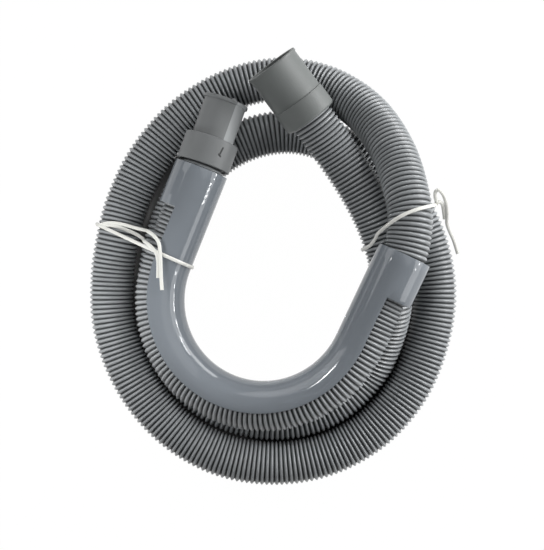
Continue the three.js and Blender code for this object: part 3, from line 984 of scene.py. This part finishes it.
def make_strip(name, line, length, turn=0):
    """A strip of coated wire, thick in the middle where the wire is, bent along a line."""
    step = length / TIE_SPANS
    rings = [(TIE_WIDTH / 2, i * step) for i in range(TIE_SPANS + 1)]
    strip = stack_rings(name, rings, TIE_SIDES)
    for vertex in strip.data.vertices:
        side = max(-1, min(1, vertex.co.x * 2 / TIE_WIDTH))
        core = math.exp(-((side / WIRE_SHARE) ** 2))
        half = TIE_THICKNESS / 2 + core * (TIE_CORE - TIE_THICKNESS) / 2
        vertex.co.y = math.copysign(half * (1 - side**8), vertex.co.y)
    for height in (0, length):

        def at_this_end(edge):
            return edge.is_boundary and abs(edge.verts[0].co.z - height) < step / 2

        edit(strip, at_this_end, "EDGE")
        bpy.ops.mesh.edge_face_add()
        bpy.ops.object.mode_set(mode="OBJECT")
    strip.data.transform(Matrix.Rotation(math.radians(turn), 4, "Z"))
    apply_modifier(strip, "CURVE", object=line, deform_axis="POS_Z")
    bpy.data.objects.remove(line)
    return strip


def line_length(points):
    return sum((b - a).length for a, b in zip(points, points[1:]))


def crossings(tie_frame, line, radius):
    """Outlines, in the tie's plane, of a round piece wherever it passes inside the loop."""
    to_plane = tie_frame.inverted()
    across, up, along = tie_frame.col[0].xyz, Vector((0, 0, 1)), tie_frame.col[1].xyz
    outlines = []
    for last, here in zip(line, line[1:]):
        before, after = to_plane @ last, to_plane @ here
        if before.y * after.y > 0 or after.length > TIE_REACH:
            continue
        tangent = (here - last).normalized()
        for edge in (-1, 1):
            spot = to_plane @ (here + tangent * edge * TIE_WIDTH / 2 / tangent.dot(along))
            for i in range(OUTLINE_POINTS):
                angle = 2 * math.pi * i / OUTLINE_POINTS
                direction = across * math.cos(angle) + up * math.sin(angle)
                reach = radius / math.sqrt(1 - direction.dot(tangent) ** 2)
                outlines.append(
                    Vector((spot.x + reach * math.cos(angle), spot.z + reach * math.sin(angle)))
                )
    return outlines


def laid_on(point, lines):
    """A point moved out to lie on the hose or the guide where it would be inside them."""
    for line, radius in lines:
        nearest = min(line, key=lambda place: (place - point).length)
        reach = radius + TIE_CLEARANCE + TIE_CORE / 2
        if (point - nearest).length < reach:
            point = nearest + (point - nearest).normalized() * reach
    return point


guide_route = [guide_frame @ place for place in guide_line(GUIDE_STATIONS)]


def bowed(loop, bow):
    """A flat loop's points, closer together, with its upper strand slid sideways in an arc."""
    left, right = min(place.x for place in loop), max(place.x for place in loop)
    low, high = min(place.y for place in loop), max(place.y for place in loop)
    points = []
    for a, b in zip(loop, loop[1:]):
        pieces = math.ceil((b - a).length / TIE_WIDTH)
        points += [a.lerp(b, i / pieces) for i in range(pieces)]
    points.append(loop[-1])
    for place in points:
        share = (place.x - left) / (right - left)
        lift = max(0, 2 * (place.y - low) / (high - low) - 1)
        place.z = -bow * math.sin(math.pi * share) * min(1, 2 * lift)
    return points


def make_tie(name, centre, turn, ends, guided, bow=0):
    """A tie's loop round the hoses, and the guide if it goes round that, and its two free ends."""
    tie_frame = frame_matrix(centre, turn)
    reach = TIE_CLEARANCE + TIE_CORE / 2
    outlines = crossings(tie_frame, route, hose_radius + reach)
    if guided:
        outlines += crossings(tie_frame, guide_route, GUIDE_RADIUS + reach)
    corners = [outlines[i] for i in convex_hull_2d(outlines)]
    knot_spot = tie_frame.inverted() @ Vector(ends[0][0])
    start = min(
        range(len(corners)), key=lambda i: (corners[i] - Vector((knot_spot.x, knot_spot.z))).length
    )
    loop = [Vector((*place, 0)) for place in [*corners[start:], *corners[: start + 1]]]
    if bow:
        loop = bowed(loop, bow)
    tie = make_strip(name, make_line("loop_line", loop), line_length(loop), turn=90)
    upright = tie_frame @ Matrix.Rotation(math.radians(90), 4, "X")
    tie.data.transform(upright)
    knot = upright @ loop[0]
    strips = []
    for end in ends:
        laid = [
            laid_on(Vector(place), [(route, hose_radius), (guide_route, GUIDE_RADIUS)])
            for place in end[1:]
        ]
        run = smooth_line([knot, *laid], END_PIECES)
        strips.append(make_strip("tie_end", make_line("end_line", run), line_length(run)))
    join(tie, *strips)
    finish_shape(tie, smooth_angle=50)
    return tie


left_tie = make_tie(
    "left_wire_tie", LEFT_TIE_CENTRE, LEFT_TIE_TURN, LEFT_TIE_ENDS, guided=True
)
right_tie = make_tie(
    "right_wire_tie",
    RIGHT_TIE_CENTRE,
    RIGHT_TIE_TURN,
    RIGHT_TIE_ENDS,
    guided=False,
    bow=RIGHT_TIE_BOW,
)

TIE_WHITE = (0.72, 0.72, 0.68)
tie_coating = start_material(
    "white_wire_coating",
    TIE_WHITE,
    bump_height=0.000005,
    blotch_size=90,
    blotch_depth=0.12,
    roughness=0.32,
    roughness_spread=0.1,
    grain_size=1200,
)[0]
for tie, node in ((left_tie, "left_tie"), (right_tie, "right_tie")):
    set_material(tie, tie_coating)
    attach(tie, "root")
    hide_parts(node)


# Surface and light: a dark grey table top that glows white to the camera and in reflections, with
# painted shadow close to the coil and in its gaps where ambient occlusion finds it, soft panels
# that shine mainly from the right and low down, two small lamps above the left side, and narrow
# lamps that the glossy guide mirrors.
FLOOR_SIZE = 6
# the floor is dark grey; to the camera and in reflections it glows white, except where painted
# shadow lets the grey show, close to the coil and in its gaps
FLOOR_GREY, FLOOR_ROUGHNESS = 0.13, 0.9
FLOOR_GLOW, ROOM_GLOW = 1.08, 0.04
SHADOW_REACH = 0.05
SHADOW_DARK, SHADOW_CLEAR, CLEAR_SHARE = 0.14, 0.36, 0.92
BACK_FLOOR_START, BACK_FLOOR_FULL = 0.075, 0.085
deselect()
bpy.ops.mesh.primitive_plane_add(size=FLOOR_SIZE)
floor = bpy.context.object
floor.name = "table_top"
floor_paint = bpy.data.materials.new("white_table_top")
floor_paint.use_nodes = True
tree = floor_paint.node_tree
shader = tree.nodes["Principled BSDF"]
shader.inputs["Base Color"].default_value = (FLOOR_GREY, FLOOR_GREY, FLOOR_GREY, 1)
shader.inputs["Roughness"].default_value = FLOOR_ROUGHNESS
glow = add_node(tree, "ShaderNodeEmission", Strength=FLOOR_GLOW)
seen = add_node(tree, "ShaderNodeLightPath")
# painted shadow: the glow fades out where ambient occlusion finds the coil close by
openness = add_node(
    tree, "ShaderNodeAmbientOcclusion", {"samples": 32}, Distance=SHADOW_REACH
)
# behind the coil the painted shadow is left out, so the floor there glows white all the way in to
# it
floor_place = add_node(tree, "ShaderNodeTexCoord").outputs["Object"]
back = add_node(
    tree,
    "ShaderNodeMapRange",
    Value=add_node(tree, "ShaderNodeSeparateXYZ", i0=floor_place).outputs["Y"],
)
back.inputs["From Min"].default_value = BACK_FLOOR_START
back.inputs["From Max"].default_value = BACK_FLOOR_FULL
open_floor = add_node(
    tree,
    "ShaderNodeMath",
    {"operation": "ADD"},
    i0=openness.outputs["AO"],
    i1=back.outputs[0],
)
clear = add_node(
    tree,
    "ShaderNodeMapRange",
    {"interpolation_type": "SMOOTHSTEP"},
    Value=open_floor.outputs[0],
)
clear.inputs["From Min"].default_value = SHADOW_DARK
clear.inputs["From Max"].default_value = SHADOW_CLEAR
clear.inputs["To Max"].default_value = CLEAR_SHARE
rays = ("Is Camera Ray", "Is Glossy Ray", "Is Transmission Ray")
shown = combine(tree, "MAXIMUM", [seen.outputs[ray] for ray in rays])
share = combine(tree, "MULTIPLY", [shown, clear.outputs[0]])
blend = add_node(
    tree, "ShaderNodeMixShader", i0=share, i1=shader.outputs[0], i2=glow.outputs[0]
)
tree.links.new(blend.outputs[0], tree.nodes["Material Output"].inputs["Surface"])
set_material(floor, floor_paint)

world = bpy.data.worlds.new("studio")
world.use_nodes = True
world.node_tree.nodes["Background"].inputs["Color"].default_value = (1, 1, 1, 1)
world.node_tree.nodes["Background"].inputs["Strength"].default_value = ROOM_GLOW
bpy.context.scene.world = world


def add_lamp(name, position, aim, width, length, power):
    """A rectangular lamp aimed at a point."""
    data = bpy.data.lights.new(name, "AREA")
    data.energy = power
    data.shape = "RECTANGLE"
    data.size = width
    data.size_y = length
    lamp = bpy.data.objects.new(name, data)
    away = (Vector(position) - Vector(aim)).to_track_quat("Z", "Y").to_matrix().to_4x4()
    lamp.matrix_world = Matrix.Translation(position) @ away
    bpy.context.scene.collection.objects.link(lamp)
    return lamp


COIL_CENTRE = (0, 0, 0.03)


def polar(azimuth, elevation, distance, centre=COIL_CENTRE):
    """A point in a direction from a centre."""
    turn, rise = math.radians(azimuth), math.radians(elevation)
    level = distance * math.cos(rise)
    return Vector(centre) + Vector(
        (level * math.cos(turn), level * math.sin(turn), distance * math.sin(rise))
    )


# soft panels, by azimuth, elevation, width, height and power
PANEL_DISTANCE = 1.5
PANELS = [
    ("right_panel", 0, 18, 2.2, 0.9, 19),
    ("low_right_panel", 45, 7, 1.5, 0.4, 11),
    ("high_right_panel", 38, 52, 1.3, 1.1, 3),
    ("back_panel", 125, 25, 1.4, 0.8, 6),
    ("low_left_panel", 185, 7, 1.5, 0.4, 3),
]
for name, azimuth, elevation, width, length, power in PANELS:
    position = polar(azimuth, elevation, PANEL_DISTANCE)
    add_lamp(name, position, COIL_CENTRE, width, length, power)

# two small lamps close above the coil, over the guide's left arm and the left of the ring
CLOSE_LAMPS = [
    ("arm_lamp", (-0.05, 0, 0.45), 0.1, 0.45),
    ("ring_lamp", (-0.18, -0.03, 0.16), 0.06, 0.24),
]
for name, position, size, power in CLOSE_LAMPS:
    lamp = add_lamp(name, position, (position[0], position[1], 0), size, size, power)
    lamp.visible_glossy = False


def add_tube(name, start, end, thickness, power, aim, spread=180):
    """A straight narrow lamp between two points, shining towards a third."""
    start, end = Vector(start), Vector(end)
    middle = (start + end) / 2
    along = (end - start).normalized()
    away = middle - Vector(aim)
    away = (away - along * away.dot(along)).normalized()
    lamp = add_lamp(name, middle, aim, (end - start).length, thickness, power)
    turn = Matrix((along, away.cross(along), away)).transposed()
    lamp.matrix_world = Matrix.Translation(middle) @ turn.to_4x4()
    lamp.data.spread = math.radians(spread)


# narrow lamps round the guide's bend, each mirrored on its left side as a dash
NARROW_LAMP_DISTANCE = 1
BEND_SIDE = (-0.06, -0.035, 0.062)
DASHES = [(-6, -3, 15), (0, 14, 12), (20, 26, 12), (33, 48, 17)]
DASH_THICKNESS, DASH_POWER = 0.05, 0.08
for i, (first, last, rise) in enumerate(DASHES):
    start = polar(first, rise, NARROW_LAMP_DISTANCE, BEND_SIDE)
    end = polar(last, rise, NARROW_LAMP_DISTANCE, BEND_SIDE)
    power = DASH_POWER * (last - first)
    add_tube(f"dash_{i}", start, end, DASH_THICKNESS, power, BEND_SIDE)

# a row of five, mirrored as dots along the left arm
ARM_MIDDLE = Vector((-0.0415, 0.0505, 0.0624))
DOT_STEP = Vector((-0.0028, -0.0072, 0))
DOT_AZIMUTH, DOT_LOW, DOT_HIGH = -19.3, 20, 28
DOT_THICKNESS, DOT_POWER = 0.004, 0.04
for i in range(5):
    step = (i - 2) * DOT_STEP
    start = polar(DOT_AZIMUTH, DOT_LOW, NARROW_LAMP_DISTANCE, ARM_MIDDLE) + step
    end = polar(DOT_AZIMUTH, DOT_HIGH, NARROW_LAMP_DISTANCE, ARM_MIDDLE) + step
    add_tube(f"dot_{i}", start, end, DOT_THICKNESS, DOT_POWER, ARM_MIDDLE)

# two with a narrow spread, for the streaks on the right of the bend and on the right sleeve
RIGHT_BEND = (0.0296, -0.0685, 0.0856)
STREAK_DISTANCE = 0.5
STREAK_DIRECTIONS = [(134, 48), (147, 35)]
streak_ends = [polar(*direction, STREAK_DISTANCE, RIGHT_BEND) for direction in STREAK_DIRECTIONS]
add_tube("streak", *streak_ends, thickness=0.03, power=0.003, aim=RIGHT_BEND, spread=14)
RIGHT_SLEEVE, SLEEVE_END = (0.0740, 0.0074, 0.0877), (0.1, 0.0524, 0.0877)
SLEEVE_DIRECTIONS = [(152.5, 40.8), (152.3, 41.8)]
streak_ends = [
    polar(*direction, NARROW_LAMP_DISTANCE, SLEEVE_END) for direction in SLEEVE_DIRECTIONS
]
add_tube(
    "sleeve_streak", *streak_ends, thickness=0.12, power=0.001, aim=RIGHT_SLEEVE, spread=10
)

bpy.context.scene.view_settings.view_transform = "Standard"
